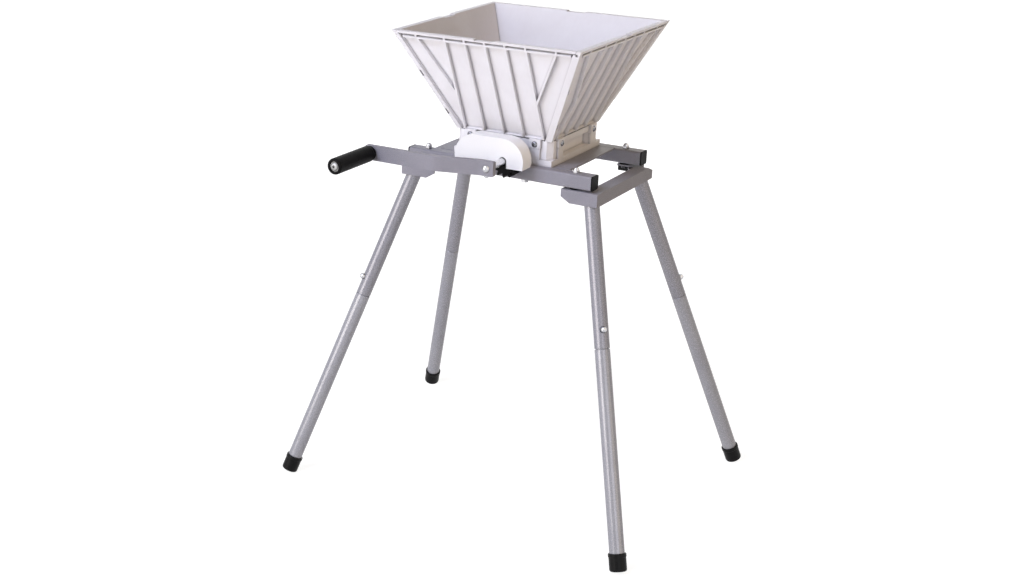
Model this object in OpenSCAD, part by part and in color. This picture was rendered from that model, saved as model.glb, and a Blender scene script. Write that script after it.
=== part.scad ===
// Hand-cranked fruit mill on a four-legged stand: a ribbed square hopper over two geared
// crushing rollers, carried by a frame of square tube on splayed two-piece legs.
// Millimetres, +Z up, front towards -Y, origin on the floor below the hopper's centre.

/* [Hopper] */
// Width of the square rim, outside
rim_w = 300; // [260:1:360]
// Height from the hopper's foot to its rim
hopper_h = 149.5; // [120:0.5:180]
// Thickness of a panel's skin
skin_t = 2.5; // [2:0.5:4]
// Depth of the ribs outside the skin
rib_h = 5.5; // [3:0.5:8]
// Thickness of a rib
rib_t = 3; // [2:0.5:4]
// Spacing of the upright ribs
rib_pitch = 32.3; // [26:0.1:34]
// How far a corner strip laps over the edge of the panel on its wide side
corner_lap = 3.2; // [1.5:0.1:4]
// Width of a fixing tab below a panel
tab_w = 18; // [14:1:24]
// Distance from a panel's middle to a fixing tab's middle
tab_x = 53; // [46:1:58]
// Thickness of a fixing tab
tab_t = 4.5; // [3:0.5:6]

/* [Mill housing] */
// Width of the square housing, outside
housing_w = 156; // [140:1:180]
// Height of the housing from the rails to the hopper's foot
housing_h = 36.5; // [36.5:0.5:46]
// Thickness of the housing's walls
housing_wall = 5; // [4:0.5:7]
// How far the base flange stands out from the walls
flange_out = 2.5; // [1:0.5:5]
// Height of the base flange
flange_h = 9; // [6:1:12]
// Spacing of the two roller shafts
shaft_gap = 46; // [46:1:50]
// Height of the shafts above the rails
shaft_rise = 10; // [10:0.5:12]
// Diameter of the shafts
shaft_d = 10; // [8:0.5:12]
// Radius of a roller over its teeth
roller_r = 22.4; // [20:0.1:22.5]
// Outside diameter of a shaft bush
bush_d = 14; // [14:0.5:18]

/* [Gears and cover] */
// Number of teeth on each gear
gear_teeth = 16; // [14:1:24]
// Face width of a gear
gear_w = 18; // [12:1:22]
// Diameter of a gear's hub
hub_d = 17; // [15:0.5:18]
// Clear space between the gear tips and the inside of the cover
cover_room = 5; // [2:0.1:7]
// Thickness of the cover's walls
cover_wall = 2.5; // [1.5:0.5:4]

/* [Crank] */
// Distance from the crank shaft to the grip's axis
crank_r = 182; // [140:1:220]
// Height of the flat bar of the crank arm
arm_h = 22; // [18:1:28]
// Thickness of the crank arm
arm_t = 7.5; // [6:0.5:10]
// Clear length of shaft between the cover and the crank arm
crank_reach = 42; // [34:1:54]
// How far the arm steps outwards between its two straight lengths
arm_step = 18; // [14:1:28]
// Diameter of the grip
grip_d = 24; // [20:1:30]
// Length of the grip
grip_l = 95; // [80:1:120]
// Diameter of the bolt that carries the grip
grip_bolt_d = 8; // [6:0.5:10]

/* [Frame] */
// Height of the top of the rails above the floor
rail_top = 528; // [420:1:650]
// Length of a rail
rail_l = 300; // [280:1:360]
// Outside width of the square rail tube
rail_s = 21; // [19:0.1:26]
// Wall of the rail tube
rail_wall = 1.5; // [1:0.25:2.5]
// Radius of the rail tube's outer edges
rail_r = 2.75; // [2.75:0.25:4]
// How far the housing's flange laps over each rail
rail_lap = 7; // [5:0.5:8]
// Width of a cross plate
cross_w = 35; // [26:1:40]
// Sheet thickness of the cross plates and leg brackets
sheet_t = 2.5; // [2:0.5:4]
// How far a leg bracket reaches past the rails' ends
bracket_over = 12; // [8:1:20]
// Length of a bracket's arm along the rails
bracket_l = 57; // [52:1:66]
// Height of a bracket
bracket_h = 19.5; // [17:0.5:28]
// Thickness of the washers between the rails and the brackets
bracket_gap = 2.5; // [1:0.5:5]
// Width of a bracket's top strip
bracket_strip = 20; // [14:1:26]

/* [Legs] */
// Where the leg axes meet the floor, from the middle, along the rails
foot_x = 287; // [240:1:340]
// Where the leg axes meet the floor, from the middle, across the rails
foot_y = 223; // [190:1:280]
// Outside diameter of the leg tubes
leg_d = 22; // [19:0.5:28]
// Wall of the leg tubes
leg_wall = 1.5; // [1:0.25:2]
// Distance from the floor to the joint of the two leg tubes, along the leg
neck_at = 318; // [260:1:360]
// Distance from the joint to the snap button, along the leg
button_up = 27; // [22:1:34]
// Diameter of a snap button
button_d = 9; // [7:0.5:10]
// How far a snap button travels
button_travel = 5.5; // [4:0.5:6]
// Thickness of a rubber foot's side
foot_wall = 1.5; // [1:0.25:4]
// Height of a rubber foot
foot_h = 26; // [20:1:34]

/* [Fits] */
// Radial clearance of a turning or sliding fit
run_fit = 0.05; // [0.02:0.01:0.1]
// Radial clearance of a fixed pin or screw in its hole
pin_fit = 0.03; // [0.01:0.01:0.1]
// Clearance between faces that turn past each other
face_gap = 0.5; // [0.3:0.1:1]

/* [Hidden] */
$fn = 48;
eps = 0.02;
cut = 1;
big = 2000;

white = "#f0eef0";
black = "#1b1b1c";
paint = "#9795a1";
steel = "#c9c9cd";
roller_grey = "#b9bcc0";
bronze = "#b08a4a";

// Heights
rail_low = rail_top - rail_s;
bracket_top = rail_low - bracket_gap;
bracket_low = bracket_top - bracket_h;
throat_z = rail_top + housing_h;
rim_z = throat_z + hopper_h;
shaft_z = rail_top + shaft_rise;

// Hopper panels: a slanted frame with its first axis along the rim, its second pointing inwards
// and its third up the slope; the ribs' outer faces lie at zero on the second axis
lean = atan((rim_w - housing_w) / 2 / hopper_h);
panel_d = rib_h + skin_t;
slope_l = hopper_h / cos(lean);
panel_seam = 0.1;
rim_t = 4.2;
rim_pocket = 3.8;
rim_rib_t = 3.2;
notch_w = 30;
notch_h = 1.6;
rib_turn = 0.385;
over = 12;
foot_rib_t = 2.5;
edge_t = 3;
small_edge_t = 0.8;
edge_gap = 0.3;
rib_reach = 0.8;
rim_rib_gap = 1;
rim_rib_in = corner_lap + rim_rib_gap + (rim_t + rim_pocket + rim_rib_t) * sin(lean);
foot_rib_in = corner_lap + edge_gap;
foot_rib_deep = 1;
foot_groove_h = 1.5;
foot_groove_in = 3;
tab_gap = 0.05;
tab_drop = 11;
tab_rise = 2;
tab_screw_drop = 5.5;
screw_d = 4;
screw_head_d = 9.4;
screw_head_h = 2.6;
screw_end_gap = 0.8;
screw_l = tab_t + housing_wall - screw_end_gap;
cross_l = 5.2;
cross_t = 1.1;
cross_deep = 1.5;

function panel_half(s) = housing_w / 2 - panel_d * cos(lean) + s * sin(lean) - panel_seam;

// Corner strips: half the angle of the open wedge between two neighbouring panels
corner_tilt = atan(sqrt(2) * tan(lean));
wedge = acos(pow(sin(lean), 2)) / 2;
seat_gap = 0.15;
strip_t = 2;
strip_seat = panel_d - strip_t;
corner_tip = 0.5;
corner_out = panel_d / cos(wedge);
strip_down = 1;
strip_top = rim_z - (rim_t + strip_down) * cos(lean);
small_lap = 1;
slot_l = 10;
slot_w = 2.6;
slot_edge = 1;
slot_deep = 2.5;
slot_at = [0.6, 0.21];
slot_from = slot_edge - panel_d * tan(wedge);
pocket_w = 3.5;
pocket_at = 0.5;
pocket_deep = 2.5;
pocket_down = 4;

// Point of a strip's outline beside one panel: its distance from the panel's inner face and
// how far it reaches along the panel
function strip_point(side, offset, reach) = let (
    out = [cos(wedge), side * sin(wedge)], along = [-sin(wedge), side * cos(wedge)])
  [corner_tip, 0] + (offset - corner_tip * cos(wedge)) * out + reach * along;

// Housing
house_half = housing_w / 2;
house_in = house_half - housing_wall;
flange_half = house_half + flange_out;
rail_y = flange_half - rail_lap + rail_s / 2;
boss_wall = 4;
boss_d = bush_d + 2 * boss_wall;
boss_out = 6;
bush_lip = 2;
bush_flange_d = bush_d + 2 * bush_lip;
bush_flange_t = 1.5;
recess_t = 1.2;
recess_down = 2;
side_recess = 9;
side_wall = 4;
side_half = tab_x - tab_w / 2;
side_down = 8;
side_in = house_half - side_recess - side_wall;
pilaster_t = 3;
pilaster_half = tab_w / 2 - 1;
pilaster_gap = 0.3;
corner_cut = 7.5;
inner_cut = 4;
guide_t = 4;
guide_gap = 2.6;
guide_x = shaft_gap / 2 + roller_r + guide_gap;
guide_down = 4;
guide_top = throat_z - guide_down;
guide_rise = 2;
guide_low = shaft_z + guide_rise;
guide_slope = 18;
guide_thick = 2;
ear_w = 17;
ear_h = 5;
ear_gap = 1;
ear_x = shaft_gap / 2 + hub_d / 2 + ear_gap + ear_w / 2;
m6 = 6;
m6_head_d = 10.4;
m6_head_h = 4;
head_room = 1;
nut_d = 10.4;
nut_hex_h = 3.8;
nut_neck = 0.6;
nut_dome_r = 4.2;
nut_bore = 2.5;
hex_d = 11.6;
hex_h = 5;
hex_bevel = 0.7;

// Rollers
roller_end = 1;
roller_half = house_in - roller_end;
tooth_h = 5.4;
roller_core_r = roller_r - tooth_h;
rib_sink = 2;
roller_ribs = 8;
rib_foot = 7;
rib_tip = 3.6;
roller_grooves = 5;
groove_w = 5;

// Gears: involute teeth, thinned for clearance
gear_m = shaft_gap / gear_teeth;
pitch_r = shaft_gap / 2;
press_a = 20;
base_r = pitch_r * cos(press_a);
tooth_over = 0.9;
tooth_under = 1.2;
tip_r = pitch_r + tooth_over * gear_m;
root_r = pitch_r - tooth_under * gear_m;
tooth_sink = 1;
thin = 0.5;
flank_n = 4;
hub_back = house_half + boss_out + bush_flange_t + face_gap;
rail_front = rail_y + rail_s / 2;
gear_gap = 4;
gear_back = rail_front + gear_gap;
gear_front = gear_back + gear_w;
grub_d = 5;
grub_in = 0.3;
grub_floor = 1.2;
grub_key = 2.5;
shaft_tail = 1;

// Gear cover
cover_r = tip_r + cover_room + cover_wall;
cover_in_r = tip_r + cover_room;
cover_gap = 1.5;
cover_back = rail_front + cover_gap;
cover_space = 2;
cover_front = gear_front + face_gap + cover_space + cover_wall;
notch_gap = 1;
notch_r = shaft_d / 2 + notch_gap;
post_r = 4.5;
post_clear = 1.2;
post_z = shaft_z + sqrt(pow(tip_r + post_r + post_clear, 2) - pow(pitch_r, 2));
post_screw_l = 16;

// Crank: the arm's front faces at the shaft and at the grip
hub_face = cover_front + crank_reach + arm_t;
grip_face = hub_face + arm_step;
shaft_x = shaft_gap / 2;
grip_x = shaft_x - crank_r;
arm_end = 12;
arm_grip_end = 9;
arm_bend_a = 10;
arm_bend_b = 76;
bend_r = 30;
bend_n = 6;
arm_round = 2.5;
crank_bolt_d = 6;
crank_bolt_l = 16;
crank_head_r = 6;
crank_head_h = 4.4;
set_d = 5;
set_head_r = 4.4;
set_head_h = 3.4;
grip_recess_r = 8;
grip_recess = 4;
grip_round = 3;
grip_bevel = 1.5;
grip_neck = 1;
grip_neck_l = 6;
grip_neck_end = 2;
washer_t = 1.2;
washer_r = 7.4;
bolt_head_r = 6.2;
bolt_head_h = 3;
socket_d = 5;
socket_floor = 0.6;
nut8_d = 14.4;
nut8_h = 6.5;

// Frame
rail_half = rail_l / 2;
cap_t = 2;
cap_plug = 12;
plug_gap = 0.2;
rail_bolt_in = 28;
rail_bolt_x = rail_half - rail_bolt_in;
cross_under = 6;
cross_in = house_half - cross_under;
cross_leg = 14;
bracket_x = rail_half + bracket_over;
bracket_lip = 1.5;
bracket_y = rail_front + bracket_lip;
arm_in_y = rail_front - rail_s;
bracket_cut_x = 14;
bracket_cut_z = 8.5;
rear_cut_in = 2;
rear_cut_x = rail_half - rear_cut_in;
rear_cut_back = 4;
rear_cut_y = rail_y - rear_cut_back;
rear_cut_z = 6.5;
rear_rise = 5;
rear_short = 2;
washer6_r = 8;
rear_arm_edge = 1;
rear_arm_x = rail_bolt_x - washer6_r - rear_arm_edge;

// Legs: each axis runs from the floor to a bracket's corner
leg_r = leg_d / 2;
leg_spread = 1.05;
leg_side_gap = 0.15;
leg_seat = leg_r * leg_spread + leg_side_gap;
leg_top_x = bracket_x - sheet_t - leg_seat;
leg_top_y = bracket_y - sheet_t - leg_seat;
leg_run = sqrt(pow(foot_x - leg_top_x, 2) + pow(foot_y - leg_top_y, 2));
leg_tilt = atan(leg_run / bracket_low);
leg_turn = atan2(foot_y - leg_top_y, foot_x - leg_top_x);
leg_l = bracket_low / cos(leg_tilt);
leg_past = 60;
leg_gap = 0.05;
inner_r = leg_r - leg_wall - run_fit;
inner_wall = 1.5;
inner_l = 52;
neck_gap = 0.5;
neck_bevel = 0.6;
neck_slope = 4;
inner_bevel = 0.8;
foot_edge = 3;
foot_flat = 0.6;
foot_bevel = 0.6;
foot_bevel_h = 1;
foot_collar = 0.6;
foot_collar_h = 5;
foot_collar_end = 0.8;
foot_floor = 4;
foot_d = leg_d + 2 * foot_wall;
foot_lift = (foot_d / 2 - foot_edge) * sin(leg_tilt) + foot_edge * (1 - cos(leg_tilt)) - foot_flat;
foot_at = foot_lift / cos(leg_tilt);
button_at = neck_at + button_up;
button_lip = 0.8;
button_flange_r = button_d / 2 + button_lip;
button_flange_t = 1.8;
button_in = 3.4;
button_proud = 5.8;
spring_t = 0.8;
spring_w = 5;
spring_l = 44;
spring_flat = -4;
spring_ease = 0.6;
bore_r = inner_r - inner_wall;
spring_gap = 0.1;
spring_back = sqrt(pow(bore_r - spring_gap, 2) - pow(spring_w / 2, 2));

// Signs of the four legs along and across the rails
corners = [[-1, -1], [1, -1], [-1, 1], [1, 1]];

// Shared shapes

// Box given by its lowest and highest corners
module box(low, high) {
  translate(low) cube(high - low);
}

// Cylinder along Y between two places, seen from the front at x and z
module rod_y(x, z, r, y0, y1) {
  translate([x, y0, z]) rotate([-90, 0, 0]) cylinder(r = r, h = y1 - y0);
}

// Round head with a low dome, standing on its face and pointing along +Z
module dome_head(r, h) {
  cap = (r * r + h * h) / (2 * h);
  intersection() {
    translate([0, 0, h - cap]) sphere(r = cap);
    cylinder(r = r, h = h);
  }
}

// Cap nut standing on its face, with a blind bore for the bolt
module cap_nut() {
  difference() {
    union() {
      cylinder(d = nut_d, h = nut_hex_h, $fn = 6);
      translate([0, 0, nut_hex_h - eps]) cylinder(r = nut_dome_r, h = nut_neck + eps);
      translate([0, 0, nut_hex_h + nut_neck]) intersection() {
        sphere(r = nut_dome_r);
        cylinder(r = nut_dome_r, h = nut_dome_r);
      }
    }
    translate([0, 0, -cut]) cylinder(r = m6 / 2 + pin_fit, h = cut + nut_hex_h + nut_bore);
  }
}

// Hexagon with turned-off corners on both faces, standing along +Z
module hex_form(d, h) {
  intersection() {
    cylinder(d = d, h = h, $fn = 6);
    rotate_extrude() polygon([[0, 0], [d / 2 - hex_bevel, 0], [d / 2, hex_bevel],
      [d / 2, h - hex_bevel], [d / 2 - hex_bevel, h], [0, h]]);
  }
}

// Square with round corners, centred
module round_square(w, r) {
  square([w - 2 * r, w], center = true);
  square([w, w - 2 * r], center = true);
  for (i = [-1, 1], j = [-1, 1]) {
    translate([i * (w / 2 - r), j * (w / 2 - r)]) circle(r = r);
  }
}

// Hopper

// Slanted frame of the front panel
module panel_frame() {
  translate([0, -house_half, throat_z]) rotate([lean, 0, 0]) children();
}

// Flat bar on the panel between two points of its outline, from the ribs' face to the skin
module panel_bar(a, b, t, depth0, depth1) {
  d = b - a;
  across = [-d[1], d[0]] * t / 2 / norm(d);
  translate([0, depth1, 0]) rotate([90, 0, 0]) linear_extrude(depth1 - depth0)
    polygon([a + across, a - across, b - across, b + across]);
}

// Slab of the panel between two places up the slope, with the panel's slanting ends; its inner
// face lies at depth
module panel_form(depth, t, s0, s1) {
  translate([0, depth, 0]) rotate([90, 0, 0]) linear_extrude(t) polygon([
    [-panel_half(s0), s0], [panel_half(s0), s0], [panel_half(s1), s1], [-panel_half(s1), s1]]);
}

module panel_ribs() {
  top = slope_l - rim_t - rim_pocket;
  turn_s = slope_l * rib_turn;
  for (k = [-2:2]) {
    panel_bar([k * rib_pitch, 0], [k * rib_pitch, slope_l], rib_t, 0, rib_h + eps);
  }
  for (side = [-1, 1]) {
    reach = panel_half(top) * rib_reach;
    panel_bar([side * 2 * rib_pitch, turn_s], [side * reach, top], rib_t, 0, rib_h + eps);
    panel_bar([side * reach, top], [side * reach, slope_l], rib_t, 0, rib_h + eps);
    edge_top = slope_l - rim_t - strip_down;
    t = side > 0 ? edge_t : small_edge_t;
    edge_in = t / 2 + edge_gap;
    panel_bar([side * (panel_half(-over) - edge_in), -over],
      [side * (panel_half(edge_top) - edge_in), edge_top], t, strip_t + seat_gap, rib_h + eps);
  }
  panel_form(rib_h + eps, rib_h + eps, slope_l - rim_t, slope_l + over);
  wide = panel_half(slope_l) - rim_rib_in;
  box([-wide, 0, top - rim_rib_t], [wide, rib_h + eps, top]);
  low = panel_half(0) - foot_rib_in;
  box([-low, foot_rib_deep, 0], [low, rib_h + eps, foot_rib_t]);
}

module hopper_panel() {
  difference() {
    union() {
      intersection() {
        panel_frame() {
          panel_form(panel_d, skin_t, -over, slope_l + over);
          panel_ribs();
        }
        difference() {
          box([-big, -big, throat_z], [big, big, rim_z]);
          box([-big, -house_half - cut, throat_z - cut],
            [big, -house_half + foot_groove_in, throat_z + foot_groove_h]);
        }
      }
      for (side = [-1, 1]) {
        box([side * tab_x - tab_w / 2, -house_half - tab_t, throat_z - tab_drop],
          [side * tab_x + tab_w / 2, -house_half - tab_gap, throat_z + tab_rise]);
        box([side * tab_x - tab_w / 2, -house_half - tab_t, throat_z],
          [side * tab_x + tab_w / 2, -house_half + rib_h, throat_z + tab_rise]);
      }
    }
    box([-notch_w / 2, -rim_w, rim_z - notch_h], [notch_w / 2, 0, rim_z + cut]);
    for (side = [-1, 1]) {
      rod_y(side * tab_x, throat_z - tab_screw_drop, screw_d / 2 + pin_fit,
        -house_half - tab_t - cut, -house_half + cut);
    }
  }
}

module hopper_front() { color(white) hopper_panel(); }
module hopper_right() { color(white) rotate([0, 0, 90]) hopper_panel(); }
module hopper_rear() { color(white) rotate([0, 0, 180]) hopper_panel(); }
module hopper_left() { color(white) rotate([0, 0, 270]) hopper_panel(); }

// Frame of a corner strip: Z runs up the corner and X points outwards
module corner_frame(turn) {
  corner_in = house_half - panel_d / cos(lean);
  rotate([0, 0, turn]) translate([corner_in * sqrt(2), 0, throat_z]) rotate([0, corner_tilt, 0]) children();
}

// Angle that closes the wedge between two panels and laps over their edges, with slots in its
// narrow face, a pocket near the top of its wide face and a sharp corner that completes the rim
module corner_strip(turn) {
  run = hopper_h / cos(corner_tilt);
  difference() {
    intersection() {
      corner_frame(turn) difference() {
        translate([0, 0, -over]) linear_extrude(run + 2 * over) polygon([
          [corner_tip, 0], strip_point(-1, strip_seat, 0), strip_point(-1, strip_seat, corner_lap),
          strip_point(-1, panel_d, corner_lap), [corner_out, 0], strip_point(1, panel_d, small_lap),
          strip_point(1, strip_seat, small_lap), strip_point(1, strip_seat, 0)]);
        for (at = slot_at) {
          rotate([0, 0, wedge]) box([panel_d - slot_deep, slot_from, run * at - slot_l / 2],
            [panel_d + cut, slot_from + slot_w, run * at + slot_l / 2]);
        }
        rotate([0, 0, -wedge]) box([panel_d - pocket_deep, pocket_at, run - pocket_down],
          [panel_d + cut, pocket_at + pocket_w, run]);
      }
      box([-big, -big, throat_z], [big, big, rim_z]);
    }
    intersection() {
      corner_frame(turn) for (end = [0, 1]) {
        mirror([0, end, 0]) rotate([0, 0, wedge])
          box([0, -corner_tip * sin(wedge) - eps, 0], [panel_d + cut, corner_lap + cut, run + over]);
      }
      box([-big, -big, strip_top], [big, big, big]);
    }
  }
}

module corner_strip_fl() { color(white) corner_strip(225); }
module corner_strip_fr() { color(white) corner_strip(315); }
module corner_strip_rl() { color(white) corner_strip(135); }
module corner_strip_rr() { color(white) corner_strip(45); }

// Pan-head screws through the panels' tabs into the housing, two on each side
module hopper_screws() {
  color(steel) for (turn = [0:90:270], side = [-1, 1]) {
    rotate([0, 0, turn])
      translate([side * tab_x, -house_half - tab_t, throat_z - tab_screw_drop]) rotate([90, 0, 0]) {
        difference() {
          dome_head(screw_head_d / 2, screw_head_h);
          for (cross = [0, 90]) {
            rotate([0, 0, cross]) translate([-cross_l / 2, -cross_t / 2, screw_head_h - cross_deep])
              cube([cross_l, cross_t, screw_head_h]);
          }
        }
        translate([0, 0, -screw_l + eps]) cylinder(d = screw_d, h = screw_l);
      }
  }
}

// Mill housing

module housing() {
  inner_half = house_in * sqrt(2) - inner_cut;
  color(white) difference() {
    union() {
      box([-house_half, -house_half, rail_top], [house_half, house_half, throat_z]);
      box([-flange_half, -flange_half, rail_top], [flange_half, flange_half, rail_top + flange_h]);
      for (side = [-1, 1], end = [-1, 1]) {
        box([side * ear_x - ear_w / 2, min(end * house_half, end * rail_front), rail_top],
          [side * ear_x + ear_w / 2, max(end * house_half, end * rail_front), rail_top + ear_h]);
        intersection() {
          rod_y(side * shaft_x, shaft_z, boss_d / 2, min(end * house_in, end * (house_half + boss_out)),
            max(end * house_in, end * (house_half + boss_out)));
          box([-big, -big, rail_top], [big, big, throat_z]);
        }
      }
      for (turn = [0:90:270], side = [-1, 1]) {
        rotate([0, 0, turn]) box(
          [side * tab_x - pilaster_half, -house_half - pilaster_t, rail_top + flange_h - eps],
          [side * tab_x + pilaster_half, -house_half + eps, throat_z - tab_drop - pilaster_gap]);
      }
    }
    difference() {
      intersection() {
        box([-house_in, -house_in, rail_top - cut], [house_in, house_in, throat_z + cut]);
        rotate([0, 0, 45]) box([-inner_half, -inner_half, 0], [inner_half, inner_half, big]);
      }
      for (side = [0, 1]) {
        mirror([side, 0, 0]) {
          guide();
          box([side_in, -side_half - side_wall, 0], [house_half, side_half + side_wall, guide_top]);
        }
      }
    }
    for (turn = [0:90:270]) {
      rotate([0, 0, turn]) face_cuts(turn == 90 || turn == 270);
    }
    for (side = [-1, 1]) {
      rod_y(side * shaft_x, shaft_z, bush_d / 2 + pin_fit, -house_half - boss_out - cut,
        house_half + boss_out + cut);
    }
    for (side = [-1, 1], end = [-1, 1]) {
      translate([side * ear_x, end * rail_y, rail_top - cut])
        cylinder(r = m6 / 2 + pin_fit, h = ear_h + 2 * cut);
      translate([side * ear_x, end * rail_y, rail_top + ear_h])
        cylinder(d = m6_head_d + head_room, h = housing_h);
    }
    rod_y(0, post_z, screw_d / 2 + pin_fit, -house_half - cut, -house_in + cut);
  }
}

// Sloping guide inside a side wall, which leads the fruit onto the rollers
module guide() {
  past = house_in + cut;
  translate([0, past, 0]) rotate([90, 0, 0]) linear_extrude(2 * past) polygon([
    [past, guide_top], [side_in, guide_top], [guide_x, guide_top - guide_slope],
    [guide_x, guide_low], [guide_x + guide_t, guide_low],
    [guide_x + guide_t, guide_top - guide_slope - guide_thick],
    [past, guide_top - guide_t - guide_thick]]);
}

// Recessed field, corner bevel and screw holes of one outer face, cut from the front; the side
// faces are set back between their tabs
module face_cuts(side_face) {
  low = rail_top + flange_h;
  high = throat_z - tab_drop - recess_down;
  if (side_face) {
    box([-side_half, -big, low], [side_half, -house_half + side_recess, throat_z - side_down]);
  } else {
    difference() {
      box([-side_half, -house_half - boss_out, low], [side_half, -house_half + recess_t, high]);
      for (side = [-1, 1]) {
        rod_y(side * shaft_x, shaft_z, boss_d / 2, -big, -house_half + housing_wall);
      }
    }
  }
  half_cut = corner_cut / sqrt(2);
  translate([house_half, -house_half, low]) rotate([0, 0, 45])
    translate([-half_cut, -half_cut, 0]) cube([2 * half_cut, 2 * half_cut, housing_h]);
  for (side = [-1, 1]) {
    rod_y(side * tab_x, throat_z - tab_screw_drop, screw_d / 2 + pin_fit, -house_half - cut,
      -house_half - tab_t + screw_l + pin_fit);
  }
}

// Bush with a flange outside the wall
module bush(side, end) {
  color(bronze) translate([side * shaft_x, 0, shaft_z]) rotate([end < 0 ? 90 : -90, 0, 0]) difference() {
    union() {
      translate([0, 0, house_in]) cylinder(d = bush_d, h = housing_wall + boss_out);
      translate([0, 0, house_half + boss_out]) cylinder(d = bush_flange_d, h = bush_flange_t);
    }
    translate([0, 0, house_in - cut]) cylinder(r = shaft_d / 2 + run_fit, h = house_half);
  }
}

module drive_bush_front() { bush(1, -1); }
module drive_bush_rear() { bush(1, 1); }
module driven_bush_front() { bush(-1, -1); }
module driven_bush_rear() { bush(-1, 1); }

// Shafts, rollers and gears

module drive_shaft() {
  tail = house_half + boss_out + bush_flange_t + shaft_tail;
  color(steel) difference() {
    rod_y(shaft_x, shaft_z, shaft_d / 2, -hub_face, tail);
    rod_y(shaft_x, shaft_z, crank_bolt_d / 2 + pin_fit, -hub_face - cut,
      -hub_face + crank_bolt_l + face_gap);
  }
}

module driven_shaft() {
  tail = house_half + boss_out + bush_flange_t + shaft_tail;
  color(steel) rod_y(-shaft_x, shaft_z, shaft_d / 2, -gear_front - shaft_tail, tail);
}

// Roller with rows of teeth, cut across by grooves
module roller(side) {
  step = 2 * roller_half / (roller_grooves + 1);
  color(roller_grey) translate([side * shaft_x, roller_half, shaft_z]) rotate([90, 0, 0]) difference() {
    union() {
      cylinder(r = roller_core_r, h = 2 * roller_half);
      intersection() {
        cylinder(r = roller_r, h = 2 * roller_half);
        for (k = [0:roller_ribs - 1]) {
          rotate([0, 0, (k + 0.5) * 360 / roller_ribs]) linear_extrude(2 * roller_half) polygon([
            [roller_core_r - rib_sink, -rib_foot / 2], [roller_r + cut, -rib_tip / 2],
            [roller_r + cut, rib_tip / 2], [roller_core_r - rib_sink, rib_foot / 2]]);
        }
      }
    }
    for (k = [1:roller_grooves]) {
      translate([0, 0, k * step - groove_w / 2]) difference() {
        cylinder(r = roller_r + cut, h = groove_w);
        translate([0, 0, -cut]) cylinder(r = roller_core_r, h = groove_w + 2 * cut);
      }
    }
    translate([0, 0, -cut]) cylinder(r = shaft_d / 2 + pin_fit, h = 2 * (roller_half + cut));
  }
}

module drive_roller() { roller(1); }
module driven_roller() { roller(-1); }

// Angle by which an involute has turned when it reaches radius r
function roll_angle(r) = sqrt(pow(r / base_r, 2) - 1) * 180 / PI - acos(base_r / r);

// Half the angle of a tooth at radius r
function tooth_half(r) = (90 / gear_teeth) - thin / 2 / pitch_r * 180 / PI
  + roll_angle(pitch_r) - roll_angle(max(r, base_r));

function flank(side) = [for (k = [0:flank_n])
  let (r = base_r + (tip_r - base_r) * k / flank_n, a = side * tooth_half(r)) [r * cos(a), r * sin(a)]];

// End of a flank, sunk into the gear's body
function foot_point(a) = (root_r - tooth_sink) * [cos(a), sin(a)];

function tooth() = let (a = tooth_half(base_r), lower = flank(-1), upper = flank(1)) concat(
  [foot_point(-a)], lower, [for (k = [flank_n:-1:0]) upper[k]], [foot_point(a)]);

// Gear with a hub behind it; turn is the angle of its first tooth
module gear(side, turn) {
  color(black) translate([side * shaft_x, 0, shaft_z]) rotate([90, 0, 0]) difference() {
    union() {
      translate([0, 0, gear_back]) cylinder(r = root_r, h = gear_w);
      for (k = [0:gear_teeth - 1]) {
        rotate([0, 0, turn + k * 360 / gear_teeth]) translate([0, 0, gear_back])
          linear_extrude(gear_w) polygon(tooth());
      }
      translate([0, 0, hub_back]) cylinder(d = hub_d, h = gear_back - hub_back + cut);
    }
    translate([0, 0, hub_back - cut])
      cylinder(r = shaft_d / 2 + pin_fit, h = gear_front - hub_back + 2 * cut);
    translate([0, 0, (hub_back + gear_back) / 2]) rotate([-90, 0, 0])
      cylinder(r = grub_d / 2 + pin_fit, h = hub_d);
  }
}

module drive_gear() { gear(1, 0); }
module driven_gear() { gear(-1, gear_teeth % 2 == 0 ? 180 / gear_teeth : 0); }

// Grub screw in a gear's hub
module gear_screw(side) {
  color(steel) translate([side * shaft_x, -(hub_back + gear_back) / 2, shaft_z + shaft_d / 2 + pin_fit])
    difference() {
      cylinder(d = grub_d, h = (hub_d - shaft_d) / 2 - pin_fit - grub_in);
      translate([0, 0, grub_floor]) cylinder(d = grub_key, h = hub_d, $fn = 6);
    }
}

module drive_gear_screw() { gear_screw(1); }
module driven_gear_screw() { gear_screw(-1); }

// Outline of the gear cover, round over both shafts
module cover_form(r, y0, y1, low) {
  intersection() {
    union() {
      for (side = [-1, 1]) {
        rod_y(side * shaft_x, shaft_z, r, y0, y1);
      }
      box([-shaft_x, y0, shaft_z - r], [shaft_x, y1, shaft_z + r]);
    }
    box([-big, -big, low], [big, big, big]);
  }
}

module gear_cover() {
  color(white) difference() {
    union() {
      difference() {
        cover_form(cover_r, -cover_front, -cover_back, rail_top);
        cover_form(cover_in_r, -cover_front + cover_wall, -cover_back + cut, rail_top - cut);
      }
      rod_y(0, post_z, post_r, -cover_front + cover_wall - eps, -house_half);
    }
    rod_y(shaft_x, shaft_z, notch_r, -cover_front - cut, -cover_front + cover_wall + cut);
    box([shaft_x - notch_r, -cover_front - cut, rail_top - cut],
      [shaft_x + notch_r, -cover_front + cover_wall + cut, shaft_z]);
    rod_y(0, post_z, screw_d / 2 + pin_fit, -house_half - post_screw_l + housing_wall, -house_half + cut);
  }
}

// Screw from inside the housing into the cover's post
module cover_screw() {
  color(steel) translate([0, -house_in, post_z]) rotate([-90, 0, 0]) {
    dome_head(screw_head_d / 2, screw_head_h);
    translate([0, 0, -post_screw_l + screw_end_gap])
      cylinder(d = screw_d, h = post_screw_l - screw_end_gap + eps);
  }
}

// Crank

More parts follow.
